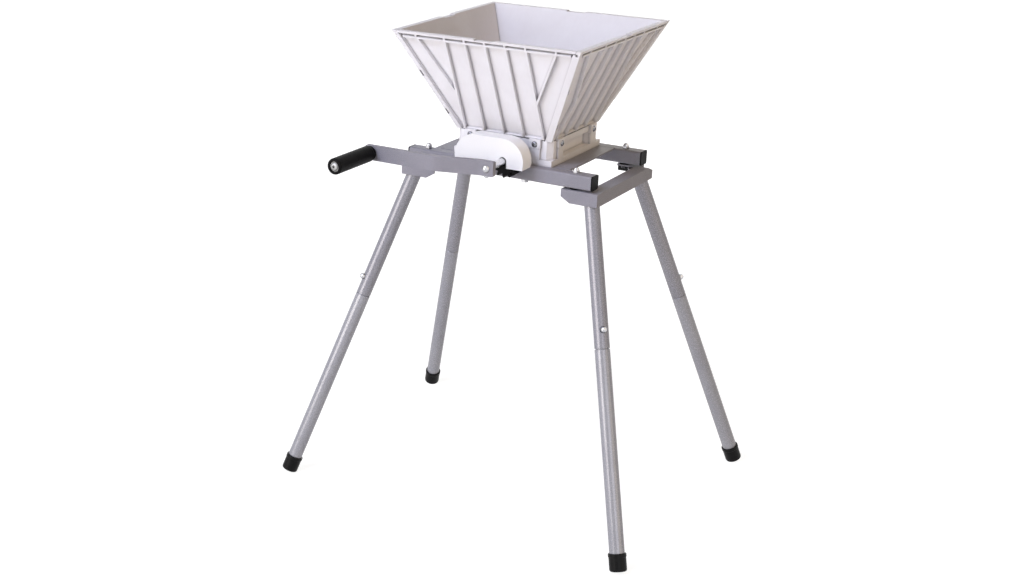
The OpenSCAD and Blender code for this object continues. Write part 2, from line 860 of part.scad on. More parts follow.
// Points of a bend of the arm's outline
function bend(c, r, from, to) = [for (k = [0:bend_n])
  let (a = from + (to - from) * k / bend_n) [c[0] + r * cos(a), c[1] + r * sin(a)]];

// Flat bar, straight at the shaft, stepping outwards and straight again at the grip
module crank_arm() {
  x0 = shaft_x + arm_end;
  x1 = shaft_x - arm_bend_a;
  x2 = shaft_x - arm_bend_b;
  x3 = grip_x - arm_grip_end;
  slant = atan(arm_step / (arm_bend_b - arm_bend_a));
  reach = bend_r * tan(slant / 2);
  hub_c = [x1 + reach, -hub_face + arm_t / 2 - bend_r];
  grip_c = [x2 - reach, -grip_face + arm_t / 2 + bend_r];
  front = concat([[x0, -hub_face]], bend(hub_c, bend_r - arm_t / 2, 90, 90 + slant),
    bend(grip_c, bend_r + arm_t / 2, 270 + slant, 270), [[x3, -grip_face]]);
  rear = concat([[x3, -grip_face + arm_t]], bend(grip_c, bend_r - arm_t / 2, 270, 270 + slant),
    bend(hub_c, bend_r + arm_t / 2, 90 + slant, 90), [[x0, -hub_face + arm_t]]);
  color(paint) difference() {
    intersection() {
      translate([0, 0, shaft_z - arm_h / 2]) linear_extrude(arm_h) polygon(concat(front, rear));
      translate([0, 0, shaft_z]) rotate([90, 0, 0]) linear_extrude(big) {
        for (x = [x0 - arm_round, x3 + arm_round], side = [-1, 1]) {
          translate([x, side * (arm_h / 2 - arm_round)]) circle(r = arm_round);
        }
        translate([x3 + arm_round, -arm_h / 2]) square([x0 - x3 - 2 * arm_round, arm_h]);
        translate([x3, arm_round - arm_h / 2]) square([x0 - x3, arm_h - 2 * arm_round]);
      }
    }
    rod_y(shaft_x, shaft_z, shaft_d / 2 + pin_fit, -hub_face - cut, -hub_face + arm_t + cut);
    rod_y(grip_x, shaft_z, grip_bolt_d / 2 + pin_fit, -grip_face - cut, -grip_face + arm_t + cut);
    translate([shaft_x, -hub_face + arm_t / 2, shaft_z - arm_h])
      cylinder(r = set_d / 2 + pin_fit, h = arm_h);
  }
}

// Domed bolt in the end of the shaft
module crank_bolt() {
  color(steel) translate([shaft_x, -hub_face, shaft_z]) rotate([90, 0, 0]) {
    dome_head(crank_head_r, crank_head_h);
    translate([0, 0, -crank_bolt_l]) cylinder(d = crank_bolt_d, h = crank_bolt_l + eps);
  }
}

// Screw under the arm that holds the shaft
module crank_set_screw() {
  low = shaft_z - arm_h / 2;
  color(steel) translate([shaft_x, -hub_face + arm_t / 2, low]) {
    rotate([180, 0, 0]) dome_head(set_head_r, set_head_h);
    translate([0, 0, -eps]) cylinder(d = set_d, h = arm_h / 2 - shaft_d / 2 - pin_fit);
  }
}

// Place at the grip's axis, with Z pointing away from the arm
module at_grip() {
  translate([grip_x, -grip_face, shaft_z]) rotate([90, 0, 0]) children();
}

module grip() {
  r = grip_d / 2;
  bore = grip_bolt_d / 2 + run_fit;
  z0 = face_gap;
  z1 = face_gap + grip_l;
  color(black) at_grip() rotate_extrude($fn = 64) polygon(concat(
    [[bore, z0], [r - grip_neck - grip_bevel, z0], [r - grip_neck, z0 + grip_bevel],
      [r - grip_neck, z0 + grip_neck_l], [r, z0 + grip_neck_l + grip_neck_end]],
    [for (a = [0:30:90]) [r - grip_round + grip_round * cos(a), z1 - grip_round + grip_round * sin(a)]],
    [[grip_recess_r, z1], [grip_recess_r, z1 - grip_recess], [bore, z1 - grip_recess]]));
}

module grip_bolt() {
  head_z = face_gap + grip_l - grip_recess + face_gap + washer_t;
  color(steel) at_grip() difference() {
    union() {
      translate([0, 0, -arm_t - nut8_h]) cylinder(d = grip_bolt_d, h = arm_t + nut8_h + head_z + eps);
      translate([0, 0, head_z]) dome_head(bolt_head_r, bolt_head_h);
    }
    translate([0, 0, head_z + socket_floor]) cylinder(d = socket_d, h = bolt_head_h, $fn = 6);
  }
}

module grip_washer() {
  color(steel) at_grip() translate([0, 0, face_gap + grip_l - grip_recess + face_gap]) difference() {
    cylinder(r = washer_r, h = washer_t);
    translate([0, 0, -cut]) cylinder(r = grip_bolt_d / 2 + pin_fit, h = washer_t + 2 * cut);
  }
}

module grip_nut() {
  color(steel) at_grip() translate([0, 0, -arm_t - nut8_h]) difference() {
    cylinder(d = nut8_d, h = nut8_h, $fn = 6);
    translate([0, 0, -cut]) cylinder(r = grip_bolt_d / 2 + pin_fit, h = nut8_h + 2 * cut);
  }
}

// Frame

module rail(end) {
  color(paint) difference() {
    translate([-rail_half, end * rail_y, rail_low + rail_s / 2]) rotate([90, 0, 90])
      linear_extrude(rail_l) difference() {
        round_square(rail_s, rail_r);
        round_square(rail_s - 2 * rail_wall, rail_r - rail_wall);
      }
    for (x = [-rail_bolt_x, -ear_x, ear_x, rail_bolt_x]) {
      translate([x, end * rail_y, rail_low - cut]) cylinder(r = m6 / 2 + pin_fit, h = rail_s + 2 * cut);
    }
  }
}

module front_rail() { rail(-1); }
module rear_rail() { rail(1); }

// Angle between the rails beside the housing, flush with their tops
module cross_plate() {
  half = rail_y - rail_s / 2;
  color(paint) {
    box([cross_in, -half, rail_top - sheet_t], [cross_in + cross_w, half, rail_top]);
    box([cross_in, -half, rail_top - cross_leg], [cross_in + sheet_t, half, rail_top]);
  }
}

module right_cross_plate() { cross_plate(); }
module left_cross_plate() { mirror([1, 0, 0]) cross_plate(); }

// Plugs in the four ends of the rails
module rail_caps() {
  plug = rail_s - 2 * rail_wall - plug_gap;
  color(black) for (side = [-1, 1], end = [-1, 1]) {
    translate([side * rail_half, end * rail_y, (rail_low + rail_top) / 2]) rotate([0, side * 90, 0]) {
      linear_extrude(cap_t) round_square(rail_s, rail_r);
      translate([0, 0, -cap_plug]) linear_extrude(cap_plug + eps) round_square(plug, rail_r - rail_wall);
    }
  }
}

// Sheet bracket under the rails' ends: a flat U with turned-down outer edges, lower at the front
// and cut away at the outer corner of its rear end
module bracket() {
  inner = bracket_x - bracket_l;
  color(paint) difference() {
    union() {
      box([bracket_x - bracket_strip, -bracket_y, bracket_top - sheet_t],
        [bracket_x, bracket_y, bracket_top]);
      box([bracket_x - sheet_t, -bracket_y, bracket_low], [bracket_x, bracket_y, bracket_top]);
      box([inner, -bracket_y, bracket_top - sheet_t], [bracket_x, -arm_in_y, bracket_top]);
      box([rear_arm_x, rail_y - washer6_r, bracket_top - sheet_t],
        [bracket_x, bracket_y, bracket_top]);
      translate([0, sheet_t - bracket_y, 0]) rotate([90, 0, 0]) linear_extrude(sheet_t) polygon([
        [inner, bracket_top], [bracket_x, bracket_top], [bracket_x, bracket_low],
        [inner + bracket_cut_x, bracket_low], [inner, bracket_low + bracket_cut_z]]);
      box([inner + rear_short, bracket_y - sheet_t, bracket_low + rear_rise],
        [bracket_x, bracket_y, bracket_top]);
    }
    for (end = [-1, 1]) {
      translate([rail_bolt_x, end * rail_y, bracket_top - sheet_t - cut])
        cylinder(r = m6 / 2 + pin_fit, h = sheet_t + 2 * cut);
    }
    translate([rear_cut_x, 0, 0]) rotate([90, 0, 90]) linear_extrude(bracket_x) polygon([
      [rear_cut_y, bracket_top], [bracket_y, bracket_top - rear_cut_z],
      [bracket_y + cut, bracket_top - rear_cut_z], [bracket_y + cut, bracket_top + cut],
      [rear_cut_y, bracket_top + cut]]);
  }
}

module right_bracket() { bracket(); }
module left_bracket() { mirror([1, 0, 0]) bracket(); }

// Bolts that hold the rails to the brackets, heads below
module rail_bolts() {
  seat = bracket_top - sheet_t;
  color(steel) for (side = [-1, 1], end = [-1, 1]) {
    translate([side * rail_bolt_x, end * rail_y, seat]) {
      translate([0, 0, -m6_head_h]) hex_form(hex_d, m6_head_h);
      translate([0, 0, -eps]) cylinder(d = m6, h = sheet_t + bracket_gap + rail_s + nut_hex_h);
    }
  }
}

// Washers between the rails and the brackets
module rail_washers() {
  color(black) for (side = [-1, 1], end = [-1, 1]) {
    translate([side * rail_bolt_x, end * rail_y, bracket_top]) difference() {
      cylinder(r = washer6_r, h = bracket_gap);
      translate([0, 0, -cut]) cylinder(r = m6 / 2 + pin_fit, h = bracket_gap + 2 * cut);
    }
  }
}

module rail_nuts() {
  color(steel) for (side = [-1, 1], end = [-1, 1]) {
    translate([side * rail_bolt_x, end * rail_y, rail_top]) cap_nut();
  }
}

// Bolts that hold the housing's ears to the rails, heads above
module housing_bolts() {
  seat = rail_top + ear_h;
  color(steel) for (side = [-1, 1], end = [-1, 1]) {
    translate([side * ear_x, end * rail_y, seat]) {
      dome_head(m6_head_d / 2, m6_head_h);
      translate([0, 0, -ear_h - rail_s - hex_h]) cylinder(d = m6, h = ear_h + rail_s + hex_h + eps);
    }
  }
}

module housing_nuts() {
  color(steel) for (side = [-1, 1], end = [-1, 1]) {
    translate([side * ear_x, end * rail_y, rail_low]) rotate([180, 0, 0]) difference() {
      hex_form(hex_d, hex_h);
      translate([0, 0, -cut]) cylinder(r = m6 / 2 + pin_fit, h = hex_h + 2 * cut);
    }
  }
}

// Legs

// Frame of one leg: Z runs up the leg from the floor and X points outwards
module leg_frame(c) {
  turn = atan2(c[1] * sin(leg_turn), c[0] * cos(leg_turn));
  translate([c[0] * foot_x, c[1] * foot_y, 0]) rotate([0, -leg_tilt, turn]) children();
}

module button_hole() {
  translate([0, 0, button_at]) rotate([0, 90, 0]) cylinder(r = button_d / 2 + run_fit, h = leg_d);
}

// Upper tube, cut level under the bracket's top
module upper_leg(c) {
  low = neck_at + neck_gap;
  color(paint) intersection() {
    leg_frame(c) difference() {
      translate([0, 0, low]) cylinder(r = leg_r, h = leg_l - low + leg_past);
      translate([0, 0, low - cut]) cylinder(r = leg_r - leg_wall, h = leg_l - low + leg_past + 2 * cut);
      button_hole();
    }
    box([-big, -big, 0], [big, big, bracket_top - sheet_t - leg_gap]);
  }
}

// Lower tube, with a drawn-in end that fits inside the upper tube
module lower_leg(c) {
  low = foot_at + foot_floor;
  shoulder = neck_at - neck_gap;
  top = neck_at + inner_l;
  color(paint) leg_frame(c) difference() {
    rotate_extrude() polygon([
      [leg_r - leg_wall, low], [leg_r, low], [leg_r, shoulder - neck_bevel],
      [leg_r - neck_bevel, shoulder], [inner_r, shoulder], [inner_r, top - inner_bevel],
      [inner_r - inner_bevel, top], [bore_r, top], [bore_r, shoulder - neck_slope],
      [leg_r - leg_wall, shoulder - 2 * neck_slope]]);
    button_hole();
  }
}

// Rubber cap, worn flat where it meets the floor
module foot(c) {
  r = foot_d / 2;
  color(black) intersection() {
    leg_frame(c) translate([0, 0, foot_at]) rotate_extrude() polygon(concat(
      [[0, 0]],
      [for (a = [-90:15:0]) [r - foot_edge + foot_edge * cos(a), foot_edge + foot_edge * sin(a)]],
      [[r, foot_h - foot_collar_h - foot_collar_end], [r + foot_collar, foot_h - foot_collar_h],
        [r + foot_collar, foot_h - foot_bevel_h], [r + foot_collar - foot_bevel, foot_h],
        [leg_r + pin_fit, foot_h],
        [leg_r + pin_fit, foot_floor - pin_fit], [0, foot_floor - pin_fit]]));
    box([-big, -big, 0], [big, big, big]);
  }
}

// Button that locks the two tubes, with a flange inside and a domed end outside
module snap_button(c) {
  shank = leg_r + button_proud - button_d / 2;
  color(steel) leg_frame(c) translate([0, 0, button_at]) rotate([0, 90, 0]) {
    translate([0, 0, button_in]) cylinder(d = button_d, h = shank - button_in);
    translate([0, 0, button_in]) cylinder(r = button_flange_r, h = button_flange_t);
    translate([0, 0, shank]) intersection() {
      sphere(d = button_d);
      translate([0, 0, -eps]) cylinder(d = button_d, h = button_d);
    }
  }
}

// Leaf springs behind the buttons: a strip on the far wall, folded back up to the height of a
// pressed button
module button_springs() {
  rise = spring_back + button_in - button_travel - spring_ease;
  foot = -spring_l / 2;
  climb = (spring_flat - foot) / rise;
  lift = spring_t * norm([1, climb]);
  color(steel) for (c = corners) {
    leg_frame(c) translate([-spring_back, spring_w / 2, button_at]) rotate([90, 0, 0])
      linear_extrude(spring_w) polygon([
        [0, -foot], [0, foot], [rise, spring_flat], [rise, -spring_flat], [rise - spring_t, -spring_flat],
        [rise - spring_t, foot + climb * (rise - spring_t) + lift],
        [spring_t, foot + climb * spring_t + lift], [spring_t, -foot]]);
  }
}

module upper_leg_fl() { upper_leg(corners[0]); }
module upper_leg_fr() { upper_leg(corners[1]); }
module upper_leg_rl() { upper_leg(corners[2]); }
module upper_leg_rr() { upper_leg(corners[3]); }
module lower_leg_fl() { lower_leg(corners[0]); }
module lower_leg_fr() { lower_leg(corners[1]); }
module lower_leg_rl() { lower_leg(corners[2]); }
module lower_leg_rr() { lower_leg(corners[3]); }
module foot_fl() { foot(corners[0]); }
module foot_fr() { foot(corners[1]); }
module foot_rl() { foot(corners[2]); }
module foot_rr() { foot(corners[3]); }
module snap_button_fl() { snap_button(corners[0]); }
module snap_button_fr() { snap_button(corners[1]); }
module snap_button_rl() { snap_button(corners[2]); }
module snap_button_rr() { snap_button(corners[3]); }

hopper_front();
hopper_right();
hopper_rear();
hopper_left();
corner_strip_fl();
corner_strip_fr();
corner_strip_rl();
corner_strip_rr();
hopper_screws();
housing();
gear_cover();
cover_screw();
drive_bush_front();
drive_bush_rear();
driven_bush_front();
driven_bush_rear();
drive_shaft();
drive_roller();
drive_gear();
drive_gear_screw();
driven_shaft();
driven_roller();
driven_gear();
driven_gear_screw();
crank_arm();
crank_bolt();
crank_set_screw();
grip();
grip_bolt();
grip_washer();
grip_nut();
front_rail();
rear_rail();
left_cross_plate();
right_cross_plate();
rail_caps();
left_bracket();
right_bracket();
rail_bolts();
rail_nuts();
rail_washers();
housing_bolts();
housing_nuts();
upper_leg_fl();
upper_leg_fr();
upper_leg_rl();
upper_leg_rr();
lower_leg_fl();
lower_leg_fr();
lower_leg_rl();
lower_leg_rr();
foot_fl();
foot_fr();
foot_rl();
foot_rr();
snap_button_fl();
snap_button_fr();
snap_button_rl();
snap_button_rr();
button_springs();
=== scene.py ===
"""Looks of a hand-cranked fruit mill on a stand: materials, small details, light and camera.

Metres, +Z up, front towards -Y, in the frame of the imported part.
"""
import math

import bpy
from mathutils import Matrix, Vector


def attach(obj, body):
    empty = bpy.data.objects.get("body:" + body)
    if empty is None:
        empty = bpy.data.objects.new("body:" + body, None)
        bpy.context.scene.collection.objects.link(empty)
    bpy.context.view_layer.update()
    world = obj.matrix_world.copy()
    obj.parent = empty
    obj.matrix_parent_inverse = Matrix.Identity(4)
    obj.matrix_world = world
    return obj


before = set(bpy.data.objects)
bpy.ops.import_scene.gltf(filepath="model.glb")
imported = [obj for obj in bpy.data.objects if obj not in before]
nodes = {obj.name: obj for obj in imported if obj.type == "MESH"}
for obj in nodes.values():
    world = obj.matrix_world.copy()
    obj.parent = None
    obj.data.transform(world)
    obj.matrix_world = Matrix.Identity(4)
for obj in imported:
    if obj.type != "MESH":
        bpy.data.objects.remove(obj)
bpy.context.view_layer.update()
scene = bpy.context.scene


# Materials

GROOVE_SHADE_FADE = 0.004  # height over which painted shade in grooves sets in


class Shader:
    """A node material in the making."""

    def __init__(self, name):
        self.material = bpy.data.materials.new(name)
        self.material.use_nodes = True
        self.tree = self.material.node_tree
        self.bsdf = self.tree.nodes["Principled BSDF"]
        self.place = self.add("ShaderNodeTexCoord").outputs["Object"]

    def add(self, kind, settings=None, inputs=None):
        node = self.tree.nodes.new(kind)
        for key, value in (settings or {}).items():
            setattr(node, key, value)
        for key, value in (inputs or {}).items():
            self.feed(node.inputs[key], value)
        return node

    def feed(self, socket, value):
        if isinstance(value, bpy.types.NodeSocket):
            self.tree.links.new(value, socket)
        else:
            socket.default_value = value

    def set(self, **values):
        """Sets or links the shader's own sockets, named with underscores for spaces."""
        for key, value in values.items():
            self.feed(self.bsdf.inputs[key.replace("_", " ")], value)

    def stretched(self, scale):
        """Object coordinates scaled apart along X, Y and Z."""
        node = self.add("ShaderNodeMapping", inputs={"Vector": self.place, "Scale": scale})
        return node.outputs["Vector"]

    def noise(self, scale, detail=2.0, roughness=0.5, place=None):
        node = self.add(
            "ShaderNodeTexNoise",
            inputs={
                "Vector": place or self.place,
                "Scale": scale,
                "Detail": detail,
                "Roughness": roughness,
            },
        )
        return node.outputs["Fac"]

    def cells(self, scale, place=None):
        node = self.add(
            "ShaderNodeTexVoronoi", inputs={"Vector": place or self.place, "Scale": scale}
        )
        return node.outputs

    def span(self, value, low, high, start=0.0, stop=1.0):
        """Maps low..high onto start..stop, held at the ends."""
        node = self.add(
            "ShaderNodeMapRange",
            {"clamp": True},
            {"Value": value, "From Min": low, "From Max": high, "To Min": start, "To Max": stop},
        )
        return node.outputs["Result"]

    def blend(self, share, first, second):
        """Mixes two colours by share."""
        node = self.add("ShaderNodeMix", {"data_type": "RGBA"})
        self.feed(node.inputs["Factor"], share)
        self.feed(node.inputs[6], first)
        self.feed(node.inputs[7], second)
        return node.outputs[2]

    def maths(self, operation, first, second=0.0):
        node = self.add("ShaderNodeMath", {"operation": operation})
        self.feed(node.inputs[0], first)
        self.feed(node.inputs[1], second)
        return node.outputs["Value"]

    def bump(self, height, strength, distance, normal=None):
        node = self.add(
            "ShaderNodeBump",
            inputs={"Height": height, "Strength": strength, "Distance": distance},
        )
        if normal is not None:
            self.feed(node.inputs["Normal"], normal)
        return node.outputs["Normal"]

    def edges(self, radius):
        """A mask, one at sharp edges and zero on flats, and the rounded normal it comes from."""
        rounded = self.add("ShaderNodeBevel", {"samples": 4}, {"Radius": radius})
        flat = self.add("ShaderNodeNewGeometry")
        turned = self.add("ShaderNodeVectorMath", {"operation": "DOT_PRODUCT"})
        self.feed(turned.inputs[0], rounded.outputs["Normal"])
        self.feed(turned.inputs[1], flat.outputs["Normal"])
        return self.span(turned.outputs["Value"], 0.995, 0.85), rounded.outputs["Normal"]

    def hollow_shade(self, reach):
        """Shares of painted shade in corners and deep in grooves, both zero on open faces."""
        node = self.add("ShaderNodeAmbientOcclusion", {"samples": 8}, {"Distance": reach})
        return self.span(node.outputs["AO"], 0.9, 0.4), self.span(node.outputs["AO"], 0.24, 0.06)


def linear(code):
    """Linear colour from a six-digit sRGB code."""
    parts = [int(code[i : i + 2], 16) / 255 for i in (0, 2, 4)]
    lin = [p / 12.92 if p <= 0.04045 else ((p + 0.055) / 1.055) ** 2.4 for p in parts]
    return (*lin, 1.0)


def white_plastic(name, low, high, streaks, lowest):
    """Moulded plastic with painted shade in its corners, and darker painted shade deep in grooves
    above the lowest height given.
    """
    sh = Shader(name)
    edge, rounded = sh.edges(radius=0.0003)
    cloud = sh.noise(14.0, detail=3.0)
    grain = sh.noise(2600.0, roughness=0.6)
    flow = sh.noise(60.0, place=sh.stretched((3.0, 3.0, 0.5)))
    body = sh.blend(sh.span(cloud, 0.35, 0.65), linear(low), linear(high))
    body = sh.blend(sh.span(flow, 0.4, 0.75, 0.0, streaks), body, linear("E6E3E4"))
    corner, groove = sh.hollow_shade(reach=0.005)
    height = sh.add("ShaderNodeSeparateXYZ", inputs={"Vector": sh.place}).outputs["Z"]
    high_up = sh.span(height, lowest - GROOVE_SHADE_FADE, lowest, 0.0, 0.85)
    high_groove_shade = sh.maths("MULTIPLY", groove, high_up)
    # Painted shade: corners greyed and deep grooves darkened, standing in for the shade that falls
    # there
    body = sh.blend(sh.maths("MULTIPLY", corner, 0.6), body, linear("969293"))
    body = sh.blend(high_groove_shade, body, linear("332F2F"))
    body = sh.blend(sh.maths("MULTIPLY", edge, 0.35), body, linear("FAF9FA"))
    sh.set(
        Base_Color=body,
        Roughness=sh.span(sh.noise(220.0, detail=3.0), 0.3, 0.7, 0.38, 0.5),
        Normal=sh.bump(grain, strength=0.12, distance=0.00012, normal=rounded),
        Specular_IOR_Level=0.28,
        IOR=1.49,
    )
    return sh.material


def frame_paint(name, low, high, metal, rough):
    """Grey paint with fine metal flakes, lighter along worn edges."""
    sh = Shader(name)
    edge, rounded = sh.edges(radius=0.0004)
    flakes = sh.cells(5200.0)
    peel = sh.noise(420.0, roughness=0.55)
    cloud = sh.noise(22.0, detail=3.0)
    glint = sh.add("ShaderNodeSeparateColor", inputs={"Color": flakes["Color"]}).outputs["Red"]
    body = sh.blend(sh.span(cloud, 0.3, 0.7), linear(low), linear(high))
    body = sh.blend(sh.span(glint, 0.55, 1.0, 0.0, 0.55), body, linear("B6B5BC"))
    body = sh.blend(sh.span(glint, 0.3, 0.0, 0.0, 0.4), body, linear("75737A"))
    body = sh.blend(sh.maths("MULTIPLY", edge, 0.4), body, linear("AFAEB4"))
    sh.set(
        Base_Color=body,
        Metallic=metal,
        Roughness=sh.span(sh.noise(900.0), 0.3, 0.7, rough, rough + 0.1),
        Normal=sh.bump(peel, strength=0.06, distance=0.0002, normal=rounded),
        Specular_IOR_Level=0.15,
        IOR=1.5,
    )
    return sh.material


def black_plastic():
    """Black moulded plastic with a pebbled grain."""
    sh = Shader("black_plastic")
    edge, rounded = sh.edges(radius=0.0005)
    grain = sh.cells(1500.0)["Distance"]
    cloud = sh.noise(30.0, detail=3.0)
    body = sh.blend(sh.span(cloud, 0.3, 0.7), linear("070708"), linear("0F0F10"))
    body = sh.blend(sh.maths("MULTIPLY", edge, 0.5), body, linear("303032"))
    sh.set(
        Base_Color=body,
        Roughness=sh.span(sh.noise(300.0), 0.3, 0.7, 0.42, 0.56),
        Normal=sh.bump(grain, strength=0.25, distance=0.0002, normal=rounded),
        Specular_IOR_Level=0.07,
        IOR=1.5,
    )
    return sh.material


def black_rubber():
    """Black rubber with level scuffs."""
    sh = Shader("black_rubber")
    edge, rounded = sh.edges(radius=0.0006)
    grain = sh.noise(1400.0, detail=3.0, roughness=0.6)
    level = sh.stretched((1.0, 1.0, 5.0))
    scuffs = sh.noise(120.0, detail=4.0, roughness=0.65, place=level)
    body = sh.blend(sh.span(scuffs, 0.45, 0.75), linear("060607"), linear("0F0F10"))
    body = sh.blend(sh.maths("MULTIPLY", edge, 0.4), body, linear("222223"))
    sh.set(
        Base_Color=body,
        Roughness=sh.span(scuffs, 0.3, 0.8, 0.3, 0.5),
        Normal=sh.bump(grain, strength=0.08, distance=0.0002, normal=rounded),
        Specular_IOR_Level=0.13,
        IOR=1.52,
    )
    return sh.material


def steel(name, low, high, worn, rough=0.2, reach=0.003):
    """Steel with fine lines, brighter along edges, with painted shade darkening sockets and
    corners.
    """
    sh = Shader(name)
    edge, rounded = sh.edges(radius=0.0004)
    level = sh.stretched((1.0, 1.0, 9.0))
    turned = sh.noise(300.0, detail=3.0, roughness=0.6, place=level)
    cloud = sh.noise(90.0)
    body = sh.blend(sh.span(cloud, 0.3, 0.7), linear(low), linear(high))
    body = sh.blend(sh.maths("MULTIPLY", edge, 0.5), body, linear(worn))
    corner, groove = sh.hollow_shade(reach)
    # Painted shade: corners and sockets darkened, standing in for the shade that falls there
    body = sh.blend(sh.maths("MULTIPLY", corner, 0.7), body, linear("4A4A4D"))
    body = sh.blend(groove, body, linear("1C1C1E"))
    sh.set(
        Base_Color=body,
        Metallic=1.0,
        Roughness=sh.span(turned, 0.3, 0.7, rough, rough + 0.14),
        Normal=sh.bump(turned, strength=0.06, distance=0.0001, normal=rounded),
    )
    return sh.material


def roller_metal():
    """Cast metal with a coarse skin and bright edges."""
    sh = Shader("roller_metal")
    edge, rounded = sh.edges(radius=0.0006)
    cast = sh.noise(700.0, detail=4.0, roughness=0.6)
    cloud = sh.noise(45.0, detail=3.0)
    body = sh.blend(sh.span(cloud, 0.3, 0.7), linear("A9ABAE"), linear("BDBFC2"))
    body = sh.blend(sh.maths("MULTIPLY", edge, 0.6), body, linear("DCDDDF"))
    sh.set(
        Base_Color=body,
        Metallic=1.0,
        Roughness=sh.span(cast, 0.3, 0.7, 0.42, 0.58),
        Normal=sh.bump(cast, strength=0.35, distance=0.0003, normal=rounded),
    )
    return sh.material


def bush_bronze():
    """Sintered bronze with dark pores."""
    sh = Shader("bush_bronze")
    _, rounded = sh.edges(radius=0.0004)
    pores = sh.cells(1800.0)["Distance"]
    cloud = sh.noise(120.0)
    body = sh.blend(sh.span(cloud, 0.3, 0.7), linear("A37E42"), linear("BC9656"))
    body = sh.blend(sh.span(pores, 0.18, 0.05, 0.0, 0.6), body, linear("6E5228"))
    sh.set(
        Base_Color=body,
        Metallic=1.0,
        Roughness=sh.span(cloud, 0.3, 0.7, 0.3, 0.42),
        Normal=sh.bump(pores, strength=0.15, distance=0.0001, normal=rounded),
    )
    return sh.material


LOOKS = {
    "white_plastic": white_plastic("white_plastic", "EDEAEC", "F3F1F3", 0.16, 0.0),
    # Panel plastic is the white plastic with its painted groove shade kept above 0.7 m, at the rim
    "panel_plastic": white_plastic("panel_plastic", "EDEAEC", "F3F1F3", 0.16, 0.7),
    "cover_plastic": white_plastic("cover_plastic", "F7F6F5", "FAF9F8", 0.04, 0.0),
    "frame_paint": frame_paint("frame_paint", "8A888F", "928F97", 0.0, 0.42),
    # Painted light: the leg paints are lighter copies of the frame paint, the lower legs lightest,
    # standing in for light the legs get; their higher metal and lower roughness are their glossier
    # finish
    "upper_paint": frame_paint("upper_paint", "8E8D94", "97969C", 0.3, 0.22),
    "lower_paint": frame_paint("lower_paint", "9B9BA1", "A5A5AA", 0.3, 0.2),
    "black_plastic": black_plastic(),
    "black_rubber": black_rubber(),
    "bright_steel": steel("bright_steel", "B2B2B6", "C6C6C9", "E6E6E8"),
    "polished_steel": steel("polished_steel", "DADADC", "E8E8EA", "F4F4F5"),
    "satin_steel": steel("satin_steel", "B2B2B1", "BEBEBD", "D2D2D2", 0.6, 0.006),
    "zinc_steel": steel("zinc_steel", "75757A", "8A8A8F", "B4B4B8"),
    "dark_steel": steel("dark_steel", "2A2A2C", "3A3A3D", "68686C"),
    "roller_metal": roller_metal(),
    "bush_bronze": bush_bronze(),
}
OWN = {
    "gear_cover": "cover_plastic",
    "hopper_screws": "zinc_steel",
    "rail_bolts": "dark_steel",
    "drive_shaft": "polished_steel",
    "grip_bolt": "satin_steel",
    "grip_washer": "satin_steel",
}
PANELS = ("hopper_front", "hopper_right", "hopper_rear", "hopper_left")
PAINTED = ("crank_arm", "front_rail", "rear_rail")
BLACK = ("drive_gear", "driven_gear", "grip", "rail_caps", "rail_washers")


def look_of(name):
    """The look of a CAD node, by its name."""
    if name in OWN:
        return OWN[name]
    if name in PANELS:
        return "panel_plastic"
    if name == "housing" or name.startswith("corner_strip"):
        return "white_plastic"
    if "_leg_" in name:
        return name.split("_")[0] + "_paint"
    if name in PAINTED or name.endswith(("cross_plate", "bracket")):
        return "frame_paint"
    if name in BLACK:
        return "black_plastic"
    if name.startswith("foot_"):
        return "black_rubber"
    if name.endswith("_roller"):
        return "roller_metal"
    if "_bush_" in name:
        return "bush_bronze"
    return "bright_steel"


for name, obj in nodes.items():
    obj.data.materials.clear()
    obj.data.materials.append(LOOKS[look_of(name)])


# Small details, in metres, with the sizes of the part that they sit on

SIDES = {"fl": (-1, -1), "fr": (1, -1), "rl": (-1, 1), "rr": (1, 1)}
LEG_FOOT = (0.287, 0.223)
LEG_TOP = (0.1478, 0.0818, 0.485)
LEG_RADIUS = 0.011
BUTTON_UP_LEG = 0.345
BUTTON_RADIUS = 0.0045
BRACKET_UNDERSIDE = 0.502
CROSS_SEAM = (0.0745, 0.0735)
CROSS_SEAM_HEIGHTS = (0.5145, 0.525)
GRIP_AXIS = (-0.159, 0.538)
GRIP_RADIUS = 0.012
GRIP_ENDS = (-0.199, -0.280)
BEAD_SIDES = 10
BEAD_TIP = 0.35  # share of a bead's thickness at its ends
BEAD_TIP_STEPS = 3
RIPPLE_TURN = 1.3  # radians of ripple for each step along a bead
STEEP = 0.9  # a path that rises more than this counts as upright
LEG_WELD_DROP = 0.0009
LEG_WELD_PROUD = 0.0004
LEG_WELD_HALF_TURN = math.radians(115)
LEG_WELD_STEPS = 90
LEG_WELD_RADIUS = 0.0012
LEG_WELD_RIPPLE = 0.00012
CROSS_WELD_STEPS = 24
CROSS_WELD_RADIUS = 0.0017
CROSS_WELD_RIPPLE = 0.00016
SHADE_RING_STEPS = 48
# Each ring of the dark painted-shadow ring round a button: how far it lies past the hole's edge and
# proud of the tube
SHADE_RING_PROFILE = (
    (0.0002, -0.0003),
    (0.0002, 0.0002),
    (0.0004, 0.0003),
    (0.0006, 0.0002),
    (0.0008, -0.0003),
)
MOULD_LINE_STEPS = 40
MOULD_LINE_HALF = 0.0005
MOULD_LINE_RISE = 0.00028
MOULD_LINE_SUNK = 0.0003
MOULD_LINE_ROOT = 0.0006
MOULD_LINE_SLOPE = 8  # the line reaches full height after one eighth of its length
# Black sheets put inside the brackets' rear flanges as painted shadow
PAD_MIDDLE = (0.1237, 0.496)
PAD_HALF = (0.0162, 0.0056)
PAD_CORNER = 0.002
PAD_STEPS = 6
# Each ring of a pad: how far it is set in, and its place from front to back
PAD_RINGS = ((0.0, 0.09355), (0.0, 0.0925), (0.0002, 0.0922), (0.0006, 0.0921))


